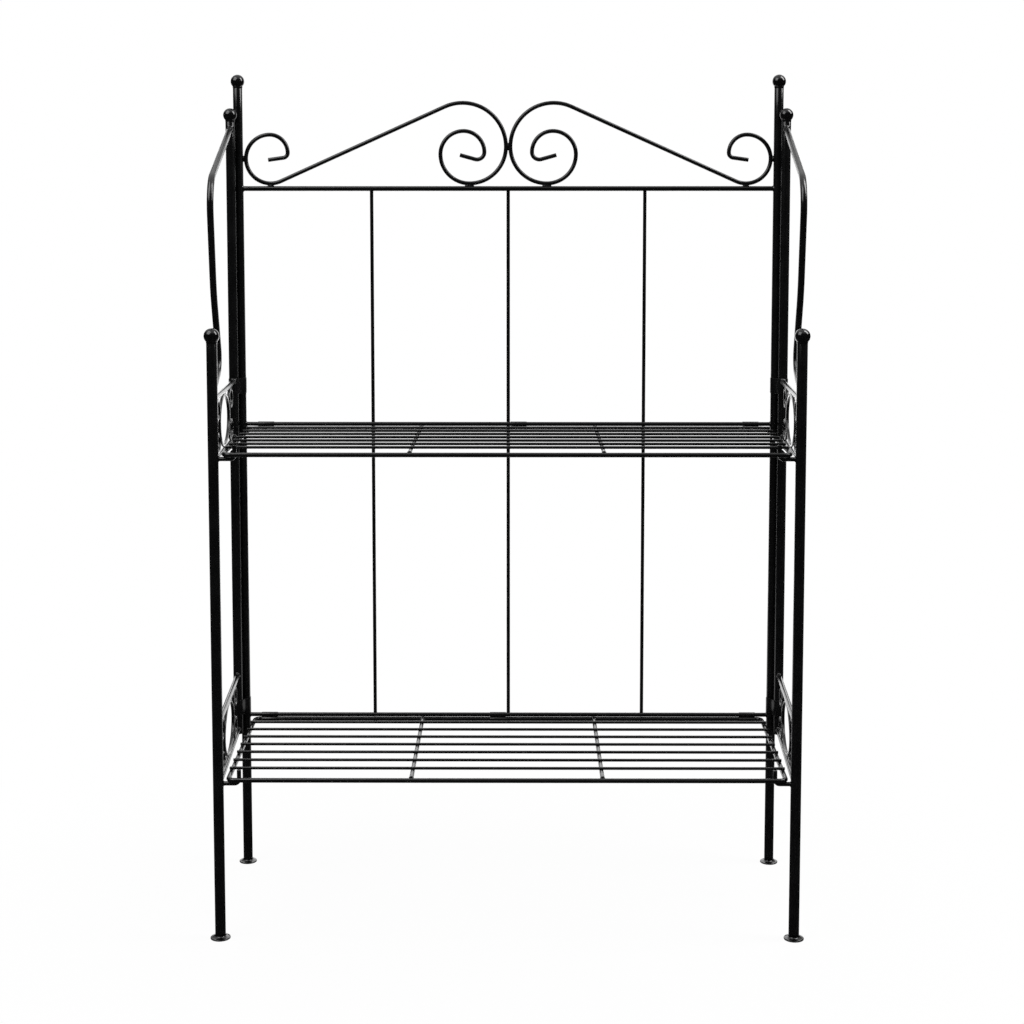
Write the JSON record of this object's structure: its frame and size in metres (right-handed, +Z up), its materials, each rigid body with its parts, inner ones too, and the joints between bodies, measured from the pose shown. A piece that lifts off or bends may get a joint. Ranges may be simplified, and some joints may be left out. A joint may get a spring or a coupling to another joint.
{
  "type": "folding plant stand",
  "caption": "Folding wire plant stand of black powder-coated steel, with shelves that swing up on sleeve hinges, side frames on strap hinges, ball finials and a scrolled crest.",
  "frame": {"origin": "on the floor, at the middle of the box round the stand", "axes": "+Z up, +Y towards the back frame, +X to the right of someone facing the front"},
  "size_m": [0.734, 0.28, 1.0467],
  "materials": {
    "powder_coat": "satin black powder coat on steel tube and rod",
    "ball_coat": "semi-gloss black powder coat on steel balls",
    "hinge_sheet": "satin black powder coat on bent steel sheet",
    "foot_coat": "satin black powder coat on pressed steel feet"
  },
  "bodies": {
    "back_frame": {"left_back_post": "powder_coat", "right_back_post": "powder_coat", "left_back_ball": "ball_coat", "right_back_ball": "ball_coat", "left_back_foot": "foot_coat", "right_back_foot": "foot_coat", "left_crest_scroll": "powder_coat", "right_crest_scroll": "powder_coat", "top_rail": "powder_coat", "upper_back_rail": "powder_coat", "lower_back_rail": "powder_coat", "left_back_wire": "powder_coat", "middle_back_wire": "powder_coat", "right_back_wire": "powder_coat"},
    "left_side": {"left_front_post": "powder_coat", "left_front_ball": "ball_coat", "left_front_foot": "foot_coat", "left_rear_stile": "powder_coat", "left_stile_ball": "ball_coat", "left_arch_rail": "powder_coat", "left_upper_hinge_strap": "hinge_sheet", "left_upper_top_guard": "powder_coat", "left_upper_bottom_guard": "powder_coat", "left_upper_guard_scrollwork": "powder_coat", "left_upper_shelf_hook": "powder_coat", "left_lower_hinge_strap": "hinge_sheet", "left_lower_top_guard": "powder_coat", "left_lower_bottom_guard": "powder_coat", "left_lower_guard_scrollwork": "powder_coat", "left_lower_shelf_hook": "powder_coat"},
    "right_side": {"right_front_post": "powder_coat", "right_front_ball": "ball_coat", "right_front_foot": "foot_coat", "right_rear_stile": "powder_coat", "right_stile_ball": "ball_coat", "right_arch_rail": "powder_coat", "right_upper_hinge_strap": "hinge_sheet", "right_upper_top_guard": "powder_coat", "right_upper_bottom_guard": "powder_coat", "right_upper_guard_scrollwork": "powder_coat", "right_upper_shelf_hook": "powder_coat", "right_lower_hinge_strap": "hinge_sheet", "right_lower_top_guard": "powder_coat", "right_lower_bottom_guard": "powder_coat", "right_lower_guard_scrollwork": "powder_coat", "right_lower_shelf_hook": "powder_coat"},
    "upper_shelf": {"upper_shelf_frame": "powder_coat", "upper_shelf_wires": "powder_coat", "upper_left_sleeve": "hinge_sheet", "upper_middle_sleeve": "hinge_sheet", "upper_right_sleeve": "hinge_sheet"},
    "lower_shelf": {"lower_shelf_frame": "powder_coat", "lower_shelf_wires": "powder_coat", "lower_left_sleeve": "hinge_sheet", "lower_middle_sleeve": "hinge_sheet", "lower_right_sleeve": "hinge_sheet"}
  },
  "joints": [
    {"name": "upper_shelf_fold", "type": "hinge", "parent": "back_frame", "child": "upper_shelf", "pos_m": [0, 0.1285, 0.5925], "axis": [-1, 0, 0], "range_deg": [0, 90]},
    {"name": "lower_shelf_fold", "type": "hinge", "parent": "back_frame", "child": "lower_shelf", "pos_m": [0, 0.1285, 0.2022], "axis": [-1, 0, 0], "range_deg": [0, 90]},
    {"name": "left_side_swing", "type": "hinge", "parent": "back_frame", "child": "left_side", "pos_m": [-0.35, 0.1285, 0], "axis": [0, 0, 1], "range_deg": [-0.2, 0.6]},
    {"name": "right_side_swing", "type": "hinge", "parent": "back_frame", "child": "right_side", "pos_m": [0.35, 0.1285, 0], "axis": [0, 0, -1], "range_deg": [-0.2, 0.6]}
  ]
}
